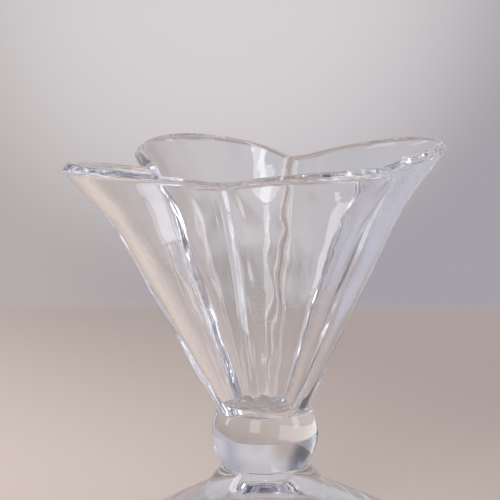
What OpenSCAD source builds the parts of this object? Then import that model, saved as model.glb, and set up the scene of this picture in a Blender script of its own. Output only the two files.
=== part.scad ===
// Footed ice cream bowl in clear pressed glass: a bowl of four petals, a ball knop and a hollow foot.
// The three pieces stand in a stack on the z axis, each fused to the next on a flat seat.
// Millimetres. The foot stands on z = 0, and the notches between the petals lie on the x and y axes.

/* [Bowl] */
// Number of petals round the rim
petals = 4; // [3:1:5]
// Height of the bowl from its fused base to the petal tips, where the rim starts to round over
bowl_h = 76.5; // [64:0.5:92]
// Reach of a petal tip from the axis
petal_reach = 62; // [54:0.1:70]
// Reach of a notch between two petals from the axis, at the rim
notch_reach = 36.6; // [32:0.1:42]
// How far the notches lie below the petal tips
notch_drop = 5.1; // [2:0.1:9]
// Height of the flared lip at a petal tip, from its bend to the rim
lip_h = 15; // [11:0.5:22]
// Softness of the bend where the lip starts to flare
lip_bend = 4; // [2:0.25:6]
// How far the lip flares out past the straight line of a petal
petal_flare = 6; // [3:0.1:9]
// How far the lip flares out past the straight line of a crease
crease_flare = 2.4; // [1:0.1:4.5]
// Reach of a crease between two petals from the axis, at the fused base
base_crease = 10.5; // [9.5:0.1:12]
// How far a crease is rounded out from its sharp corner
crease_round = 1.2; // [0.6:0.05:2]
// Thickness of the bowl's wall at the rim
rim_wall = 3.8; // [2.6:0.1:4.2]
// Thickness of the bowl's wall at its base
base_wall = 4; // [3.2:0.1:4.8]
// Thickness of the bowl's floor at the axis
bowl_floor = 1; // [0.6:0.1:2.5]
// Height over the floor where the hollow starts to round in
floor_cove = 4.5; // [3:0.25:8]

/* [Knop] */
// Diameter of the ball
knop_d = 33; // [31:0.5:38]
// Radius of the flat seat on the ball's top, where the bowl is fused
bowl_seat_r = 14.8; // [13.5:0.1:15.2]
// Radius of the flat seat under the ball, where the foot is fused
foot_seat_r = 13.2; // [12:0.1:14.5]

/* [Foot] */
// Diameter of the foot
foot_d = 78; // [72:1:90]
// Height of the foot up to the seat under the ball
foot_h = 19.5; // [17.5:0.5:24]
// Height of the steep neck, from the seat down to the shoulder where the flange starts
neck_h = 6.3; // [5:0.1:8]
// How much wider the neck is at the shoulder than at the seat, on the radius
neck_run = 5.7; // [4.5:0.1:7.5]
// Radius of the concave rounding at the shoulder
shoulder_round = 12; // [5:0.5:18]
// Radius of the foot's rounded edge
edge_r = 2.2; // [1.6:0.1:2.6]
// Thickness of the flange
flange = 6.6; // [5.6:0.1:7.2]
// Radius of the flat top of the hollow under the foot
hollow_top_r = 5.5; // [4:0.25:9]
// Radius of the rounding between the hollow's top and its side
hollow_round = 2.5; // [1:0.25:3.5]

/* [Hidden] */
$fn = 96;
glass = [0.86, 0.9, 0.92, 0.45];

// The ball stands out past both of its seats by at least this much
least_bulge = 0.5;
knop_r = max(knop_d / 2, bowl_seat_r + least_bulge, foot_seat_r + least_bulge);
// Heights of the seats, from the ball and the two flats on it
knop_z = foot_h + sqrt(knop_r * knop_r - foot_seat_r * foot_seat_r);
bowl_z = knop_z + sqrt(knop_r * knop_r - bowl_seat_r * bowl_seat_r);

// Half the angle of one petal
half_petal = 180 / petals;
// Heights over the bowl's base of the lip's bend, and of the place where the bend starts to show
bend_h = bowl_h - lip_h;
bend_start_h = bend_h - 2 * lip_bend;
// Share of the bowl's height where the inside wall ends and the floor's rounding starts
floor_start = (bowl_floor + floor_cove - base_wall / 2) / bowl_h;

// Steps of the bowl's surface: round half a petal, up the cone, up the lip, over the rim, along the floor
half_petal_steps = 16;
cone_rows = 4;
lip_rows = 8;
rim_rows = 6;
floor_rows = 5;
// How much closer together the steps lie at a petal's middle and at a crease
crowding = 0.6;
// Small steps that measure the surface's slope, in degrees and in share of height
slope_angle = 0.02;
slope_rise = 0.001;

// The foot's section: a flange that runs from the shoulder and touches the rounded edge
seat_edge = [foot_seat_r, foot_h];
shoulder = [foot_seat_r + neck_run, foot_h - neck_h];
edge_centre = [foot_d / 2 - edge_r, edge_r];
to_edge = edge_centre - shoulder;
flange_angle = atan2(to_edge.y, to_edge.x) + asin(edge_r / norm(to_edge));
flange_way = [cos(flange_angle), sin(flange_angle)];
flange_out = [-flange_way.y, flange_way.x];
edge_touch = edge_centre + edge_r * flange_out;
// The rounding at the shoulder touches the neck and the flange
neck_way = unit(seat_edge - shoulder);
shoulder_half_angle = acos(neck_way * flange_way) / 2;
round_length = shoulder_round / tan(shoulder_half_angle);
neck_touch = shoulder + round_length * neck_way;
flange_touch = shoulder + round_length * flange_way;
round_centre = shoulder + unit(neck_way + flange_way) * shoulder_round / sin(shoulder_half_angle);
// The hollow's side lies a flange's thickness under the flange, and rounds over to a flat top
ring_inner = under_flange_reach(flange, 0);
roof_round = [hollow_top_r, under_flange_height(flange + hollow_round, hollow_top_r)];
roof_end = roof_round + hollow_round * flange_out;
hollow_h = roof_round.y + hollow_round;

// The line that lies a depth under the flange: its reach at a height, and its height at a reach
function under_flange_reach(depth, z) =
    let (start = shoulder - depth * flange_out)
    start.x + (z - start.y) * flange_way.x / flange_way.y;
function under_flange_height(depth, x) =
    let (start = shoulder - depth * flange_out)
    start.y + (x - start.x) * flange_way.y / flange_way.x;

function unit(v) = v / norm(v);

function reversed(list) = [for (k = [len(list) - 1:-1:0]) list[k]];

// A line that is level below 0 and climbs past it, with the lip's soft bend between
function ramp(x) = (x + sqrt(x * x + lip_bend * lip_bend)) / 2;

// How far the lip has opened at a share t of the height, from 0 at the base to 1 at the rim
function lip(t) = (ramp(t * bowl_h - bend_h) - ramp(-bend_h)) / (ramp(lip_h) - ramp(-bend_h));

// A petal is half an oval on the line between its two notches: its reach at an angle off its middle
function lobe(tip, notch, angle) =
    let (
        middle = notch * cos(half_petal),
        length = tip - middle,
        width = notch * sin(half_petal),
        a = pow(cos(angle) / length, 2) + pow(sin(angle) / width, 2),
        b = middle * cos(angle) / (length * length),
        c = pow(middle / length, 2) - 1
    )
    (b + sqrt(max(0, b * b - a * c))) / a;

// The larger of two reaches, with the corner between them rounded out
function rounded_max(a, b, rounding) = (a + b) / 2 + sqrt(pow((a - b) / 2, 2) + rounding * rounding);

// Reach of a petal's middle and of a crease at a share t of the height
function petal_at(t) = bowl_seat_r + (petal_reach - petal_flare - bowl_seat_r) * t + petal_flare * lip(t);
function crease_at(t) = base_crease + (notch_reach - crease_flare - base_crease) * t + crease_flare * lip(t);

// A point of the outside at an angle round the axis and a share t of the height
function outside(angle, t) =
    let (
        turn = angle - 2 * half_petal * floor(angle / (2 * half_petal)),
        off = abs(turn - half_petal),
        tip = petal_at(t),
        notch = crease_at(t) - crease_round,
        near = lobe(tip, notch, off),
        far = lobe(tip, notch, 2 * half_petal - off),
        reach = rounded_max(near, far, crease_round),
        rim_h = bowl_h - notch_drop * (1 - cos(90 * off / half_petal))
    )
    [reach * cos(angle), reach * sin(angle), bowl_z + rim_h * t];

// Directions along the outside: up the wall, and square out of it
function up_wall(angle, t) =
    unit(outside(angle, min(1, t + slope_rise)) - outside(angle, max(0, t - slope_rise)));
function out_of_wall(angle, t) =
    unit(cross(outside(angle + slope_angle, t) - outside(angle - slope_angle, t), up_wall(angle, t)));

// A point of the inside, a wall's thickness in from the outside
function inside(angle, t) =
    outside(angle, t) - (base_wall + (rim_wall - base_wall) * t) * out_of_wall(angle, t);

// A point of the round rim, from 0 degrees at the outside to 180 at the inside
function rim(angle, over) =
    let (out = out_of_wall(angle, 1), up = up_wall(angle, 1))
    outside(angle, 1) + rim_wall / 2 * ((cos(over) - 1) * out + sin(over) * up);

// A point of the floor's rounding, from 0 on the wall to 1 on the axis
function hollow_floor(angle, u) =
    let (
        start = inside(angle, floor_start),
        slope = up_wall(angle, floor_start),
        end = [0, 0, bowl_z + bowl_floor],
        bend = start - slope * (start.z - end.z) / slope.z
    )
    start * (1 - u) * (1 - u) + bend * 2 * u * (1 - u) + end * u * u;

// Shares of the height for the rows of one wall face, from its foot to the rim
function wall_rows(from) =
    let (lip_start = bend_start_h / bowl_h)
    concat(
        [for (k = [0:cone_rows - 1]) from + (lip_start - from) * k / cone_rows],
        [for (k = [0:lip_rows]) lip_start + (1 - lip_start) * k / lip_rows]
    );

// Angles round the bowl
petal_turns = [
    for (p = [0:petals - 1], k = [-half_petal_steps:half_petal_steps - 1])
    let (share = k / half_petal_steps)
    half_petal * (2 * p + 1 + share - crowding * sin(360 * share) / (2 * PI))
];

// Rows of points from the base up the outside, over the rim, down the inside and in along the floor
bowl_rows = concat(
    [for (t = wall_rows(0)) [for (a = petal_turns) outside(a, t)]],
    [for (k = [1:rim_rows - 1]) [for (a = petal_turns) rim(a, 180 * k / rim_rows)]],
    [for (t = reversed(wall_rows(floor_start))) [for (a = petal_turns) inside(a, t)]],
    [for (k = [1:floor_rows - 1]) [for (a = petal_turns) hollow_floor(a, k / floor_rows)]]
);

// A closed solid from rings of points, with a flat first ring and a last point on the axis
module lofted(rows, last) {
    n = len(rows[0]);
    top = len(rows) * n;
    base = [[for (i = [0:n - 1]) i]];
    sides = [
        for (j = [0:len(rows) - 2], i = [0:n - 1])
        let (a = j * n + i, b = j * n + (i + 1) % n)
        each [[a, a + n, b], [b, a + n, b + n]]
    ];
    closing = [for (i = [0:n - 1]) [top - n + i, top, top - n + (i + 1) % n]];
    polyhedron(concat([for (row = rows) each row], [last]), concat(base, sides, closing), convexity = 6);
}

module bowl() {
    color(glass) lofted(bowl_rows, [0, 0, bowl_z + bowl_floor]);
}

module knop() {
    color(glass)
    intersection() {
        translate([0, 0, knop_z]) sphere(r = knop_r);
        translate([0, 0, foot_h]) cylinder(h = bowl_z - foot_h, r = 2 * knop_r);
    }
}

// Half section of the foot, without its hollow
module foot_section() {
    difference() {
        polygon([
            [0, 0], [edge_centre.x, 0], edge_centre, edge_touch,
            flange_touch, neck_touch, seat_edge, [0, foot_h]
        ]);
        translate(round_centre) circle(r = shoulder_round);
    }
    translate(edge_centre) circle(r = edge_r);
}

// Half section of the hollow under the foot
module hollow_section() {
    polygon([[0, 0], [ring_inner, 0], roof_end, [0, roof_end.y]]);
    square([roof_round.x, hollow_h]);
    translate(roof_round) circle(r = hollow_round);
}

module foot() {
    color(glass)
    difference() {
        rotate_extrude() foot_section();
        rotate_extrude() hollow_section();
    }
}

bowl();
knop();
foot();
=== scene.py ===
import math

import bmesh
import bpy
from mathutils import Matrix, Vector, noise


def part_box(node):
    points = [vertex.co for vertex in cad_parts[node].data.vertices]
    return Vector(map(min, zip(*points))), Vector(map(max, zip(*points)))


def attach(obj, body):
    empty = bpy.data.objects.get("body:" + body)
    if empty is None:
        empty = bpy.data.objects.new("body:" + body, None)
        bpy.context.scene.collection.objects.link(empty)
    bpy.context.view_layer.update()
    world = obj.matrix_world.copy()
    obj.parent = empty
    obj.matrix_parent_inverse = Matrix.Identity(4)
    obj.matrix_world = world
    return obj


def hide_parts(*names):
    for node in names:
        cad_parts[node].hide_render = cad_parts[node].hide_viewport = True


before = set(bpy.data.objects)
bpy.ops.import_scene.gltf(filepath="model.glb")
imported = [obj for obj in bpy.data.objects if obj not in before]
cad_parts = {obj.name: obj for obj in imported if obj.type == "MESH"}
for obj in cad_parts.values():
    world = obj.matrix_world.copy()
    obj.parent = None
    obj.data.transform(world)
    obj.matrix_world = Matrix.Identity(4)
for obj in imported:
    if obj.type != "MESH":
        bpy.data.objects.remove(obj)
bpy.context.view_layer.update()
mm = 0.001
tiny = 0.001 * mm                  # points closer than this are the same point

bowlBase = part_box("bowl")[0].z     # seat between bowl and knop
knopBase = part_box("knop")[0].z     # seat between knop and foot
print("frame loaded, seats at", round(knopBase, 4), round(bowlBase, 4))


# glass

glassLook = {
    "tint": (0.985, 0.99, 0.995, 1),
    "bend": 1.5,                   # index of refraction
    "polish": (0.0, 0.02),         # roughness, from fire-polished to lightly rubbed
    "rubSize": 9 * mm,             # spacing of the rubbed places
    "rubSpan": (0.45, 0.75),       # noise from which a place is rubbed, and at which it is fully rubbed
    "rippleSize": 3 * mm,          # fine ripples of the fire-polished skin
    "rippleDepth": 0.012 * mm,
}


def newMaterial(name):
    material = bpy.data.materials.new(name)
    material.use_nodes = True
    material.node_tree.nodes.clear()
    return material, material.node_tree


def addNode(tree, kind, settings=None, **inputs):
    node = tree.nodes.new(kind)
    for key, value in (settings or {}).items():
        setattr(node, key, value)
    for key, value in inputs.items():
        socket = node.inputs[key]
        if isinstance(value, bpy.types.NodeSocket):
            tree.links.new(value, socket)
        else:
            socket.default_value = value
    return node


def makeClearGlass(look):
    material, tree = newMaterial("clearGlass")
    place = addNode(tree, "ShaderNodeTexCoord").outputs["Object"]

    rub = addNode(tree, "ShaderNodeTexNoise", Vector=place, Scale=1 / look["rubSize"], Detail=3.0)
    rubbed = addNode(tree, "ShaderNodeMapRange", Value=rub.outputs["Fac"])
    rubbed.inputs["From Min"].default_value, rubbed.inputs["From Max"].default_value = look["rubSpan"]
    rubbed.inputs["To Min"].default_value, rubbed.inputs["To Max"].default_value = look["polish"]

    ripple = addNode(tree, "ShaderNodeTexNoise", Vector=place, Scale=1 / look["rippleSize"], Detail=1.0)
    bump = addNode(tree, "ShaderNodeBump", Height=ripple.outputs["Fac"], Distance=look["rippleDepth"])

    glass = addNode(tree, "ShaderNodeBsdfPrincipled", IOR=look["bend"])
    glass.inputs["Base Color"].default_value = look["tint"]
    glass.inputs["Transmission Weight"].default_value = 1.0
    tree.links.new(rubbed.outputs["Result"], glass.inputs["Roughness"])
    tree.links.new(bump.outputs["Normal"], glass.inputs["Normal"])
    addNode(tree, "ShaderNodeOutputMaterial", Surface=glass.outputs["BSDF"])
    return material


def makeFusedJoint():
    material, tree = newMaterial("fusedJoint")     # light goes straight through where the glass is fused
    clear = addNode(tree, "ShaderNodeBsdfTransparent")
    addNode(tree, "ShaderNodeOutputMaterial", Surface=clear.outputs["BSDF"])
    return material


clearGlass = makeClearGlass(glassLook)
fusedJoint = makeFusedJoint()
print("glass materials ready")


# bowl: a node tree that follows the petals' rule

bowlSizes = {
    "Petals": 4,
    "Base Level": bowlBase,
    "Height": 76.5 * mm,           # fused base to the petal tips
    "Petal Reach": 62 * mm,        # axis to a petal tip
    "Notch Reach": 36.6 * mm,      # axis to the notch between two petals, at the rim
    "Notch Drop": 5.1 * mm,        # notches below the tips
    "Lip Height": 15 * mm,
    "Lip Bend": 4 * mm,
    "Petal Flare": 6 * mm,
    "Crease Flare": 2.4 * mm,
    "Base Petal": 14.8 * mm,       # petal reach at the fused base
    "Base Crease": 10.5 * mm,
    "Crease Round": 1.2 * mm,
    "Rim Wall": 3.8 * mm,
    "Rim Squareness": 3.5,         # 2 is a half round, more makes the top of the rim flatter
    "Base Wall": 4 * mm,
    "Floor": 1 * mm,
    "Floor Cove": 4.5 * mm,        # height over the floor where the hollow rounds in
    "Wave Size": 9 * mm,           # slow waves that pressing leaves in both faces
    "Wave Stretch": 2.5,           # how much longer they are up the wall
    "Wave Depth": 0.3 * mm,
    "Streaks Round": 100,          # finer streaks that run up the wall beside the creases
    "Streaks Up": 3,
    "Streak Depth": 0.14 * mm,
    "Face Shift": 1.6,             # sets the inside's waves and streaks apart from the outside's
    "Base Growth": 12.0,           # how fast they grow from nothing at the fused base
    "Rim Calm": 0.8,               # share of them that the top of the rim is spared
    "Crisp Angle": math.radians(50),
    "Crowding": 0.6,               # how much closer columns lie at the petals' middles and at the creases
    "Half Petal Steps": 52,
    "Wall Rows": 72,
    "Rim Rows": 24,
    "Floor Rows": 16,
}
wholeNumbers = ("Petals", "Half Petal Steps", "Wall Rows", "Rim Rows", "Floor Rows")
petalSizes = list(bowlSizes)[:list(bowlSizes).index("Rim Wall")]


class nodeValue:
    # a socket that can be used in a formula
    def __init__(self, tree, socket):
        self.tree = tree
        self.socket = socket

    def join(self, kind, operation, *values):
        node = self.tree.nodes.new(kind)
        node.operation = operation
        for place, value in enumerate(values):
            if isinstance(value, nodeValue):
                self.tree.links.new(value.socket, node.inputs[place])
            else:
                node.inputs[place].default_value = value
        return nodeValue(self.tree, node.outputs[0])

    def calc(self, operation, *others):
        return self.join("ShaderNodeMath", operation, self, *others)

    def aim(self, operation, *others):
        return self.join("ShaderNodeVectorMath", operation, self, *others)

    def __add__(self, other):
        return self.calc("ADD", other)

    def __radd__(self, other):
        return self.calc("ADD", other)

    def __sub__(self, other):
        return self.calc("SUBTRACT", other)

    def __rsub__(self, other):
        return self.join("ShaderNodeMath", "SUBTRACT", other, self)

    def __mul__(self, other):
        return self.calc("MULTIPLY", other)

    def __rmul__(self, other):
        return self.calc("MULTIPLY", other)

    def __truediv__(self, other):
        return self.calc("DIVIDE", other)

    def __rtruediv__(self, other):
        return self.join("ShaderNodeMath", "DIVIDE", other, self)

    def __neg__(self):
        return self.calc("MULTIPLY", -1.0)

    def scaled(self, factor):
        node = addNode(self.tree, "ShaderNodeVectorMath", {"operation": "SCALE"}, Scale=factor.socket)
        self.tree.links.new(self.socket, node.inputs["Vector"])
        return nodeValue(self.tree, node.outputs[0])

    def split(self):
        node = addNode(self.tree, "ShaderNodeSeparateXYZ", Vector=self.socket)
        return [nodeValue(self.tree, output) for output in node.outputs]


def root(value):
    return value.calc("SQRT")


def sine(value):
    return value.calc("SINE")


def cosine(value):
    return value.calc("COSINE")


def squared(value):
    return value * value


def shareOf(value):
    # kept between nothing and the whole
    return value.calc("MAXIMUM", 0.0).calc("MINIMUM", 1.0)


def vector(x, y, z):
    node = addNode(x.tree, "ShaderNodeCombineXYZ", X=x.socket, Y=y.socket, Z=z.socket)
    return nodeValue(x.tree, node.outputs[0])


def newTree(name, inputs, outputs):
    tree = bpy.data.node_groups.new(name, "GeometryNodeTree")
    for key, kind in inputs.items():
        tree.interface.new_socket(key, in_out="INPUT", socket_type=kind)
    for key, kind in outputs.items():
        tree.interface.new_socket(key, in_out="OUTPUT", socket_type=kind)
    given = tree.nodes.new("NodeGroupInput")
    wanted = tree.nodes.new("NodeGroupOutput")
    return tree, {key: nodeValue(tree, given.outputs[key]) for key in inputs}, wanted


def petalPointTree():
    kinds = {key: "NodeSocketFloat" for key in ["Angle", "Rise", *petalSizes]}
    tree, g, wanted = newTree("petalPoint", kinds, {"Point": "NodeSocketVector"})
    angle, rise = g["Angle"], g["Rise"]
    half = math.pi / g["Petals"]

    # how far the lip has opened, 0 at the base to 1 at the rim
    def ramp(x):
        return (x + root(x * x + g["Lip Bend"] * g["Lip Bend"])) / 2

    bendHeight = g["Height"] - g["Lip Height"]
    shut = ramp(-bendHeight)
    lip = (ramp(rise * g["Height"] - bendHeight) - shut) / (ramp(g["Lip Height"]) - shut)

    # reach of a petal's middle and of a crease
    def reachAt(base, top, flare):
        return base + (top - flare - base) * rise + flare * lip

    tip = reachAt(g["Base Petal"], g["Petal Reach"], g["Petal Flare"])
    notch = reachAt(g["Base Crease"], g["Notch Reach"], g["Crease Flare"]) - g["Crease Round"]

    # petals are half ovals on the lines between the notches, with a rounded corner where two of them meet
    middle = notch * cosine(half)
    length = tip - middle
    width = notch * sine(half)

    def lobe(turn):
        a = squared(cosine(turn) / length) + squared(sine(turn) / width)
        b = middle * cosine(turn) / squared(length)
        c = squared(middle / length) - 1
        return (b + root((b * b - a * c).calc("MAXIMUM", 0.0))) / a

    off = (angle - 2 * half * (angle / (2 * half)).calc("FLOOR") - half).calc("ABSOLUTE")
    near = lobe(off)
    far = lobe(2 * half - off)
    reach = (near + far) / 2 + root(squared((near - far) / 2) + squared(g["Crease Round"]))

    rimHeight = g["Height"] - g["Notch Drop"] * (1 - cosine(off / half * (math.pi / 2)))
    point = vector(reach * cosine(angle), reach * sine(angle), g["Base Level"] + rimHeight * rise)
    tree.links.new(point.socket, wanted.inputs["Point"])
    return tree


def bowlTree():
    pointTree = petalPointTree()
    kinds = {key: "NodeSocketInt" if key in wholeNumbers else "NodeSocketFloat" for key in bowlSizes}
    kinds.update({"Glass": "NodeSocketMaterial", "Joint": "NodeSocketMaterial"})
    tree, g, wanted = newTree("petalBowl", kinds, {"Geometry": "NodeSocketGeometry"})

    def petalPoint(angle, rise):
        node = addNode(tree, "GeometryNodeGroup", {"node_tree": pointTree})
        tree.links.new(angle.socket, node.inputs["Angle"])
        tree.links.new(rise.socket, node.inputs["Rise"])
        for key in petalSizes:
            tree.links.new(g[key].socket, node.inputs[key])
        return nodeValue(tree, node.outputs["Point"])

    def placeNow():
        return nodeValue(tree, addNode(tree, "GeometryNodeInputPosition").outputs["Position"])

    def noiseAt(place):
        node = addNode(tree, "ShaderNodeTexNoise", Vector=place.socket, Scale=1.0, Detail=1.0)
        return nodeValue(tree, node.outputs["Fac"]) - 0.5

    def then(before, kind, settings=None, **inputs):
        return addNode(tree, kind, settings, Geometry=before.outputs["Geometry"], **inputs)

    # one sheet of points: x goes round the bowl, y goes up the outside, over the rim and down the inside
    columns = g["Petals"] * g["Half Petal Steps"] * 2
    rows = 1 + g["Wall Rows"] * 2 + g["Rim Rows"] + g["Floor Rows"]
    sheet = addNode(tree, "GeometryNodeMeshGrid")
    tree.links.new((columns + 1).socket, sheet.inputs["Vertices X"])
    tree.links.new((rows + 1).socket, sheet.inputs["Vertices Y"])
    across, along = placeNow().split()[:2]

    # share of the way round, where the last column is the first one again
    ring = (across + 0.5).calc("FRACT")
    fullTurn = 2 * math.pi
    petal = ring * g["Petals"] * 2 - 1
    angle = (petal + 1 - g["Crowding"] * sine(petal * fullTurn) / fullTurn) * (math.pi / g["Petals"])

    # share of each zone that a row has passed
    row = (along + 0.5) * rows
    onBase = shareOf(row)
    upOutside = shareOf((row - 1) / g["Wall Rows"])
    overRim = shareOf((row - 1 - g["Wall Rows"]) / g["Rim Rows"])
    downInside = shareOf((row - 1 - g["Wall Rows"] - g["Rim Rows"]) / g["Wall Rows"])
    onFloor = shareOf((row - 1 - g["Wall Rows"] * 2 - g["Rim Rows"]) / g["Floor Rows"])

    floorStart = (g["Floor"] + g["Floor Cove"] - g["Base Wall"] / 2) / g["Height"]
    rise = upOutside - downInside * (1 - floorStart)

    # place on the outside, and the directions up the wall and out of it from places close by
    smallRise = 0.001
    smallTurn = 0.0003
    point = petalPoint(angle, rise)
    above = petalPoint(angle, (rise + smallRise).calc("MINIMUM", 1.0))
    below = petalPoint(angle, (rise - smallRise).calc("MAXIMUM", 0.0))
    ahead = petalPoint(angle + smallTurn, rise)
    behind = petalPoint(angle - smallTurn, rise)
    upWall = above.aim("SUBTRACT", below).aim("NORMALIZE")
    outOfWall = ahead.aim("SUBTRACT", behind).aim("CROSS_PRODUCT", upWall).aim("NORMALIZE")

    # the rim carries the outside over to the inside, a wall's thickness away
    halfWall = (g["Base Wall"] + (g["Rim Wall"] - g["Base Wall"]) * rise) / 2
    over = overRim * math.pi
    square = 2 / g["Rim Squareness"]
    inside = cosine(over).calc("SIGN") * cosine(over).calc("ABSOLUTE").calc("POWER", square)
    crown = sine(over).calc("MAXIMUM", 0.0).calc("POWER", square)
    inward = outOfWall.scaled(halfWall * (inside - 1))
    point = point.aim("ADD", inward).aim("ADD", upWall.scaled(halfWall * crown))

    # slow waves in both faces
    faceShift = overRim * g["Face Shift"]
    waveX, waveY, waveZ = [side / g["Wave Size"] for side in point.split()]
    swell = noiseAt(vector(waveX, waveY, waveZ / g["Wave Stretch"] + faceShift)) * g["Wave Depth"]

    # streaks up the wall, strongest at the creases
    turned = (ring - 0.5) * fullTurn
    streakRing = g["Streaks Round"] / fullTurn
    upStreak = rise * g["Streaks Up"] + faceShift
    streak = noiseAt(vector(cosine(turned) * streakRing, sine(turned) * streakRing, upStreak))
    nearCrease = squared((1 - cosine(petal * math.pi)) / 2)
    swell = swell + streak * g["Streak Depth"] * nearCrease
    swell = swell * shareOf(rise * g["Base Growth"]) * (1 - crown * g["Rim Calm"])
    point = point.aim("ADD", outOfWall.scaled(swell))

    # the inside rounds in to the floor, and the base closes on the axis
    upX, upY, upZ = upWall.split()
    x, y, z = point.split()
    floorLevel = g["Base Level"] + g["Floor"]
    drop = (z - floorLevel) / upZ
    stay = (1 - onFloor) * (1 - onFloor)
    turn = 2 * onFloor * (1 - onFloor)
    x = (x * stay + (x - upX * drop) * turn) * onBase
    y = (y * stay + (y - upY * drop) * turn) * onBase
    z = z * stay + floorLevel * turn + floorLevel * onFloor * onFloor

    moved = addNode(tree, "GeometryNodeSetPosition", Geometry=sheet.outputs["Mesh"])
    tree.links.new(vector(x, y, z).socket, moved.inputs["Position"])
    closed = then(moved, "GeometryNodeMergeByDistance", Distance=2 * tiny)

    # smooth, but for the edge of the fused base
    smooth = then(closed, "GeometryNodeSetShadeSmooth", {"domain": "FACE"})
    fold = nodeValue(tree, addNode(tree, "GeometryNodeInputMeshEdgeAngle").outputs["Unsigned Angle"])
    sharp = fold.calc("GREATER_THAN", g["Crisp Angle"])
    crisp = then(smooth, "GeometryNodeSetShadeSmooth", {"domain": "EDGE"}, Selection=sharp.socket)
    crisp.inputs["Shade Smooth"].default_value = False

    plain = then(crisp, "GeometryNodeRealizeInstances")
    glass = then(plain, "GeometryNodeSetMaterial", Material=g["Glass"].socket)
    seated = (placeNow().split()[2] - g["Base Level"]).calc("LESS_THAN", tiny)
    fused = then(glass, "GeometryNodeSetMaterial", Material=g["Joint"].socket, Selection=seated.socket)
    tree.links.new(fused.outputs["Geometry"], wanted.inputs["Geometry"])
    return tree


def growFromTree(name, tree, values):
    maker = bpy.data.objects.new(name + "Maker", bpy.data.meshes.new(name + "Maker"))
    bpy.context.scene.collection.objects.link(maker)
    modifier = maker.modifiers.new("shape", "NODES")
    modifier.node_group = tree
    for item in tree.interface.items_tree:
        if item.in_out == "INPUT":
            modifier[item.identifier] = values[item.name]
    evaluated = maker.evaluated_get(bpy.context.evaluated_depsgraph_get())
    mesh = bpy.data.meshes.new_from_object(evaluated)
    maker.modifiers.remove(modifier)
    bpy.data.objects.remove(maker)
    mesh.name = name
    piece = bpy.data.objects.new(name, mesh)
    bpy.context.scene.collection.objects.link(piece)
    return piece


def finishPiece(piece, node):
    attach(piece, "root")
    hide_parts(node)
    print(piece.name, "made,", len(piece.data.polygons), "faces")


bowl = growFromTree("petalBowlGlass", bowlTree(), {**bowlSizes, "Glass": clearGlass, "Joint": fusedJoint})
finishPiece(bowl, "bowl")


# knop and foot: sections turned round the axis

turnedLook = {
    "waveSize": 8 * mm,            # slow waves in the turned faces, none at the seats and the rest ring
    "waveDepth": 0.12 * mm,
    "waveFade": 3 * mm,            # how far from a seat they are full
    "crispAngle": 35,              # degrees from which an edge is sharp
}


def arc(centre, radius, start, end, steps):
    x, y = centre
    turns = [math.radians(start + (end - start) * step / steps) for step in range(steps + 1)]
    return [Vector((x + radius * math.cos(turn), y + radius * math.sin(turn))) for turn in turns]


def line(start, end, steps):
    return [Vector(start).lerp(Vector(end), step / steps) for step in range(1, steps)]


def turnSection(name, section, angles, seats, joints, look):
    # the section runs from the axis out and back to it, with the glass on its left
    # a reach in it can be a list, with one reach for each angle
    mesh = bpy.data.meshes.new(name)
    bm = bmesh.new()
    rings = []
    for reach, height in section:
        calm = min(1, min(abs(height - seat) for seat in seats) / look["waveFade"])
        reaches = reach if isinstance(reach, list) else [reach] * len(angles)
        if reaches[0] < tiny:
            rings.append([bm.verts.new((0, 0, height))] * len(angles))
            continue
        ring = []
        for turn, radius in zip(angles, reaches):
            point = Vector((radius * math.cos(turn), radius * math.sin(turn), height))
            radius += calm * look["waveDepth"] * noise.noise(point / look["waveSize"])
            ring.append(bm.verts.new((radius * math.cos(turn), radius * math.sin(turn), height)))
        rings.append(ring)
    for step, (lower, upper) in enumerate(zip(rings, rings[1:])):
        for turn in range(len(angles)):
            following = (turn + 1) % len(angles)
            corners = [lower[turn], lower[following], upper[following], upper[turn]]
            face = bm.faces.new(list(dict.fromkeys(corners)))
            face.smooth = True
            face.material_index = int(step in joints)
    for edge in bm.edges:
        edge.smooth = edge.calc_face_angle(0) < math.radians(look["crispAngle"])
    bmesh.ops.recalc_face_normals(bm, faces=bm.faces)
    bm.to_mesh(mesh)
    bm.free()
    mesh.materials.append(clearGlass)
    mesh.materials.append(fusedJoint)
    piece = bpy.data.objects.new(name, mesh)
    bpy.context.scene.collection.objects.link(piece)
    return piece


knopSizes = {
    "radius": 16.5 * mm,
    "footSeat": 13.2 * mm,         # radius of the flat seat on the foot
    "bowlSeat": 14.8 * mm,         # radius of the flat seat under the bowl
    "steps": 48,
}
knopMiddle = knopBase + math.sqrt(knopSizes["radius"] ** 2 - knopSizes["footSeat"] ** 2)


def makeKnop(size):
    radius = size["radius"]
    low = -math.degrees(math.acos(size["footSeat"] / radius))
    high = math.degrees(math.acos(size["bowlSeat"] / radius))
    ball = arc((0, knopMiddle), radius, low, high, size["steps"])
    ball[0].y = knopBase
    ball[-1].y = bowlBase

    # the seat is fused only inside the bowl's outline, the ledges between the petals stay open
    places = [corner.co for corner in bowl.data.vertices]
    outline = [place for place in places if abs(place.z - bowlBase) < tiny and place.xy.length > tiny]
    outline.sort(key=lambda place: math.atan2(place.y, place.x))
    angles = [math.atan2(place.y, place.x) for place in outline]
    petals = [place.xy.length for place in outline]
    section = [(0, knopBase), *ball, (petals, bowlBase), (0, bowlBase)]
    joints = (0, len(section) - 2)
    return turnSection("knopGlass", section, angles, (knopBase, bowlBase), joints, turnedLook)


knop = makeKnop(knopSizes)
finishPiece(knop, "knop")

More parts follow.
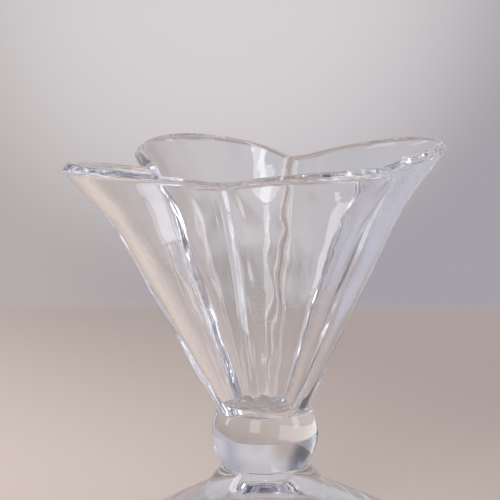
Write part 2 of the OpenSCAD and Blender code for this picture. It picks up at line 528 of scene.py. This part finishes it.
footSizes = {
    "reach": 39 * mm,
    "seat": 13.2 * mm,
    "neckHeight": 6.3 * mm,        # seat down to the shoulder
    "neckRun": 5.7 * mm,           # shoulder wider than the seat
    "shoulderRound": 12 * mm,
    "edgeRound": 2.2 * mm,
    "flange": 6.6 * mm,
    "hollowTop": 5.5 * mm,         # radius of the hollow's flat top
    "hollowRound": 2.5 * mm,
    "topSteps": 8,                 # steps along the section, from the hollow's top to the seat
    "roofRoundSteps": 10,
    "roofSteps": 10,
    "edgeSteps": 20,
    "flangeSteps": 10,
    "shoulderSteps": 14,
    "neckSteps": 6,
    "turns": 192,
}


def makeFoot(size):
    seatEdge = Vector((size["seat"], knopBase))
    shoulder = seatEdge + Vector((size["neckRun"], -size["neckHeight"]))
    edge = size["edgeRound"]
    edgeCentre = Vector((size["reach"] - edge, edge))
    toEdge = edgeCentre - shoulder
    slope = math.atan2(toEdge.y, toEdge.x) + math.asin(edge / toEdge.length)
    way = Vector((math.cos(slope), math.sin(slope)))
    out = Vector((-way.y, way.x))
    degrees = math.degrees(slope)

    def underFlange(depth, reach=None, height=0):
        # point of the line that lies a depth under the flange, at a reach or at a height
        start = shoulder - depth * out
        if reach is None:
            return Vector((start.x + (height - start.y) * way.x / way.y, height))
        return Vector((reach, start.y + (reach - start.x) * way.y / way.x))

    # rounding at the shoulder, between the neck and the flange
    neck = (seatEdge - shoulder).normalized()
    halfAngle = math.acos(neck.dot(way)) / 2
    roundCentre = shoulder + (neck + way).normalized() * size["shoulderRound"] / math.sin(halfAngle)
    neckSlope = math.degrees(math.atan2(neck.y, neck.x))
    shoulderEnds = (270 + degrees, neckSlope + 90)
    shoulderArc = arc(roundCentre, size["shoulderRound"], *shoulderEnds, size["shoulderSteps"])

    # from the top of the hollow down its roof, round the edge and up to the seat
    roofRound = size["hollowRound"]
    roofCentre = underFlange(size["flange"] + roofRound, reach=size["hollowTop"])
    hollowTop = (0, roofCentre.y + roofRound)
    roofArc = arc(roofCentre, roofRound, 90, 90 + degrees, size["roofRoundSteps"])
    ringInner = underFlange(size["flange"], height=0)
    edgeArc = arc(edgeCentre, edge, -90, 90 + degrees, size["edgeSteps"])
    section = [hollowTop, *line(hollowTop, roofArc[0], size["topSteps"]), *roofArc]
    section += [*line(roofArc[-1], ringInner, size["roofSteps"]), ringInner, *edgeArc]
    section += [*line(edgeArc[-1], shoulderArc[0], size["flangeSteps"]), *shoulderArc]
    section += [*line(shoulderArc[-1], seatEdge, size["neckSteps"]), seatEdge, (0, knopBase)]
    angles = [2 * math.pi * turn / size["turns"] for turn in range(size["turns"])]
    return turnSection("footGlass", section, angles, (0, knopBase), (len(section) - 2,), turnedLook)


foot = makeFoot(footSizes)
finishPiece(foot, "foot")


# camera, placed from the knop's middle

cameraView = {
    "azimuth": 18.6,
    "elevation": 13.19,
    "distance": 0.72,
    "heading": 18.88,              # turned a little past the bowl's axis
    "tilt": 8.72,                  # degrees below level
    "roll": 1.15,
    "focalPixels": 2328,
    "imagePixels": 500,
    "sensor": 36,
    "clip": (0.01, 20),
}


def toward(azimuth, elevation):
    # a direction in the room, in degrees right of straight ahead and above level
    turn = math.radians(cameraView["heading"] - azimuth)
    rise = math.radians(elevation)
    return Vector((-math.sin(turn) * math.cos(rise), math.cos(turn) * math.cos(rise), math.sin(rise)))


def makeCamera(view):
    camera = bpy.data.cameras.new("camera")
    camera.sensor_width = view["sensor"]
    camera.lens = camera.sensor_width * view["focalPixels"] / view["imagePixels"]
    camera.clip_start, camera.clip_end = view["clip"]
    forward = toward(0, -view["tilt"])
    right = toward(90, 0)
    level = Matrix((right, right.cross(forward), -forward)).transposed()
    turn = level @ Matrix.Rotation(-math.radians(view["roll"]), 3, "Z")
    back = toward(view["heading"] - view["azimuth"] + 180, view["elevation"])
    place = Vector((0, 0, knopMiddle)) + back * view["distance"]
    holder = bpy.data.objects.new("camera", camera)
    holder.matrix_world = Matrix.Translation(place) @ turn.to_4x4()
    bpy.context.scene.collection.objects.link(holder)
    bpy.context.scene.camera = holder


# stage: a pale table in a pale grey room

def reachAlong(tree, place, direction):
    node = addNode(tree, "ShaderNodeVectorMath", {"operation": "DOT_PRODUCT"})
    tree.links.new(place, node.inputs[0])
    node.inputs[1].default_value = direction
    return node.outputs["Value"]


def softStep(tree, value, start, end):
    node = addNode(tree, "ShaderNodeMapRange", {"interpolation_type": "SMOOTHSTEP"}, Value=value)
    node.inputs["From Min"].default_value = start
    node.inputs["From Max"].default_value = end
    return node.outputs["Result"]


def blendColour(tree, share, under, over):
    node = addNode(tree, "ShaderNodeMix", {"data_type": "RGBA"}, Factor=share)
    underSocket, overSocket = node.inputs[6:8]     # the pair that is used for colours
    if isinstance(under, bpy.types.NodeSocket):
        tree.links.new(under, underSocket)
    else:
        underSocket.default_value = under
    overSocket.default_value = over
    return node.outputs[2]


tableLook = {
    "turn": 8.1,                   # degrees between its far edge and the X axis
    "sides": (-0.4, 0.4),
    "front": -0.25,
    "back": 0.40,
    "softEdge": 0.05,              # depth over which the far edge melts into the wall
    "roughness": 0.6,
    "colour": (0.65, 0.545, 0.485, 1),
    "paintedShadeAndTint": [                    # each takes over along its own direction: the first is painted shade, the table darker towards the back right where the light from the front-left falls off; the second is a lavender-grey band further right
        # painted shade: darker towards the back right, standing in for the falling off of the light from the
        # front-left
        {"toward": 58, "span": (-0.12, 0.2), "colour": (0.38, 0.308, 0.28, 1)},
        {"toward": 96, "span": (0.08, 0.12), "colour": (0.45, 0.44, 0.5, 1)},
    ],
}


def makeTable(look):
    mesh = bpy.data.meshes.new("table")
    turn = Matrix.Rotation(math.radians(look["turn"]), 3, "Z")
    left, right = look["sides"]
    front, back = look["front"], look["back"]
    corners = ((left, front), (right, front), (right, back), (left, back))
    mesh.from_pydata([turn @ Vector((x, y, 0)) for x, y in corners], [], [(0, 1, 2, 3)])

    material, tree = newMaterial("paleTable")
    place = addNode(tree, "ShaderNodeTexCoord").outputs["Object"]
    colour = look["colour"]
    # lays the painted shade and the lavender-grey band over the table's own colour
    for shade in look["paintedShadeAndTint"]:
        share = softStep(tree, reachAlong(tree, place, toward(shade["toward"], 0)), *shade["span"])
        colour = blendColour(tree, share, colour, shade["colour"])
    surface = addNode(tree, "ShaderNodeBsdfPrincipled", Roughness=look["roughness"])
    tree.links.new(colour, surface.inputs["Base Color"])

    clear = addNode(tree, "ShaderNodeBsdfTransparent")
    depth = reachAlong(tree, place, turn @ Vector((0, 1, 0)))
    mix = addNode(tree, "ShaderNodeMixShader", Fac=softStep(tree, depth, back - look["softEdge"], back))
    tree.links.new(surface.outputs["BSDF"], mix.inputs[1])
    tree.links.new(clear.outputs["BSDF"], mix.inputs[2])
    addNode(tree, "ShaderNodeOutputMaterial", Surface=mix.outputs[0])
    mesh.materials.append(material)
    table = bpy.data.objects.new("table", mesh)
    bpy.context.scene.collection.objects.link(table)


roomLook = {
    "ambient": 0.93,
    "wall": (0.41, 0.405, 0.48, 1),
    "patches": [                   # "fade" runs from full to nothing, in degrees from the middle
        {"toward": (-6, -5), "fade": (8, 20), "colour": (0.46, 0.42, 0.415, 1), "sight": "camera"},
        {"toward": (5, -10), "fade": (3, 11), "colour": (0.38, 0.355, 0.39, 1), "sight": "camera"},
        {"toward": (-0.6, -1.8), "fade": (0, 8.2), "colour": (0.67, 0.635, 0.65, 1), "sight": "camera"},
        {"toward": (180, 20), "fade": (35, 80), "colour": (0.14, 0.14, 0.17, 1), "sight": "all"},
        {"toward": (-1, 0), "fade": (5, 35), "colour": (0.60, 0.575, 0.595, 1), "sight": "glass"},
        {"toward": (-6, -5), "fade": (2, 9), "colour": (0.65, 0.625, 0.64, 1), "sight": "glass"},
        {"toward": (8, -5), "fade": (3, 10), "colour": (0.54, 0.52, 0.55, 1), "sight": "glass"},
        {"toward": (-22, -4), "fade": (6, 24), "colour": (0.44, 0.375, 0.36, 1), "sight": "glass"},
        {"toward": (-1, -13), "fade": (1, 6.5), "colour": (0.36, 0.325, 0.33, 1), "sight": "glass"},
        {"toward": (-20, 60), "fade": (15, 45), "colour": (0.06, 0.06, 0.13, 1), "sight": "all"},
        {"toward": (1, 36), "fade": (14, 27), "colour": (0.55, 0.53, 0.56, 1), "sight": "glass"},
        {"toward": (-38, 10), "fade": (6, 22), "colour": (0.12, 0.12, 0.135, 1), "sight": "glass"},
        {"toward": (-80, -2), "fade": (8, 24), "colour": (0.05, 0.05, 0.08, 1), "sight": "all"},
        {"toward": (88, -6), "fade": (8, 24), "colour": (0.06, 0.06, 0.09, 1), "sight": "all"},
        {"toward": (60, 0), "fade": (8, 30), "colour": (0.6, 0.59, 0.66, 1), "sight": "all"},
    ],
}


def makeRoom(look):
    world = bpy.data.worlds.new("room")
    world.use_nodes = True
    tree = world.node_tree
    tree.nodes.clear()
    way = addNode(tree, "ShaderNodeTexCoord").outputs["Generated"]
    path = addNode(tree, "ShaderNodeLightPath").outputs
    toCamera = nodeValue(tree, path["Is Camera Ray"])
    glossy = nodeValue(tree, path["Is Glossy Ray"])
    throughGlass = nodeValue(tree, path["Is Transmission Ray"])
    tableTurns = nodeValue(tree, path["Diffuse Depth"])

    # soft round patches of light and shade on the walls, some only for the camera, some only in the glass
    colour = look["wall"]
    for patch in look["patches"]:
        inner, outer = [math.cos(math.radians(angle)) for angle in patch["fade"]]
        share = softStep(tree, reachAlong(tree, way, toward(*patch["toward"])), outer, inner)
        if patch["sight"] != "all":
            operation = "SUBTRACT" if patch["sight"] == "glass" else "MULTIPLY"
            limited = nodeValue(tree, share).calc(operation, toCamera)
            share = shareOf(limited).socket
        colour = blendColour(tree, share, colour, patch["colour"])

    # the walls are only seen, and light that reaches the table, through the glass too, is soft and white
    seen = toCamera.calc("MAXIMUM", glossy).calc("MAXIMUM", throughGlass)
    shown = seen * tableTurns.calc("LESS_THAN", 0.5)
    soft = addNode(tree, "ShaderNodeBackground", Color=(1, 1, 1, 1), Strength=look["ambient"])
    wall = addNode(tree, "ShaderNodeBackground", Color=colour, Strength=1.0)
    mix = addNode(tree, "ShaderNodeMixShader", Fac=shown.socket)
    tree.links.new(soft.outputs[0], mix.inputs[1])
    tree.links.new(wall.outputs[0], mix.inputs[2])
    addNode(tree, "ShaderNodeOutputWorld", Surface=mix.outputs[0])
    bpy.context.scene.world = world


makeTable(tableLook)
makeRoom(roomLook)

lampLook = {
    "aim": 0.07,                   # height that all lamps face
    "away": 1.3,
    "windows": {                   # "toward" one from the object, "glow" is how bright its face is
        "windowLeft": {"toward": (-85, 37), "size": (0.22, 0.8), "glow": 4.0, "colour": (0.93, 0.97, 1.0)},
        "windowLow": {"toward": (-85, 15), "size": (0.18, 0.24), "glow": 4.0, "colour": (0.93, 0.97, 1.0)},
        "windowRight": {"toward": (103, 28), "size": (0.36, 0.95), "glow": 3.3, "colour": (0.88, 0.89, 1.0)},
        "windowBack": {"toward": (-158, 28), "size": (0.5, 0.95), "glow": 2.8, "colour": (0.92, 0.94, 1.0)},
    },
}


def makeLamps(look):
    for name, window in look["windows"].items():
        light = bpy.data.lights.new(name, "AREA")
        light.shape = "RECTANGLE"
        light.size, light.size_y = window["size"]
        light.energy = window["glow"] * math.pi * light.size * light.size_y
        light.color = window["colour"]
        holder = bpy.data.objects.new(name, light)
        way = toward(*window["toward"])
        holder.location = Vector((0, 0, look["aim"])) + way * look["away"]
        holder.rotation_mode = "QUATERNION"
        holder.rotation_quaternion = (-way).to_track_quat("-Z", "Y")
        holder.visible_camera = False
        bpy.context.scene.collection.objects.link(holder)


makeLamps(lampLook)
print("stage and lamps ready")

makeCamera(cameraView)
scene = bpy.context.scene
scene.view_settings.view_transform = "Standard"
glassBounces = 40                  # light turns many times inside the thick rim and the knop
scene.cycles.max_bounces = glassBounces
scene.cycles.transmission_bounces = glassBounces
scene.cycles.glossy_bounces = glassBounces
scene.cycles.transparent_max_bounces = glassBounces
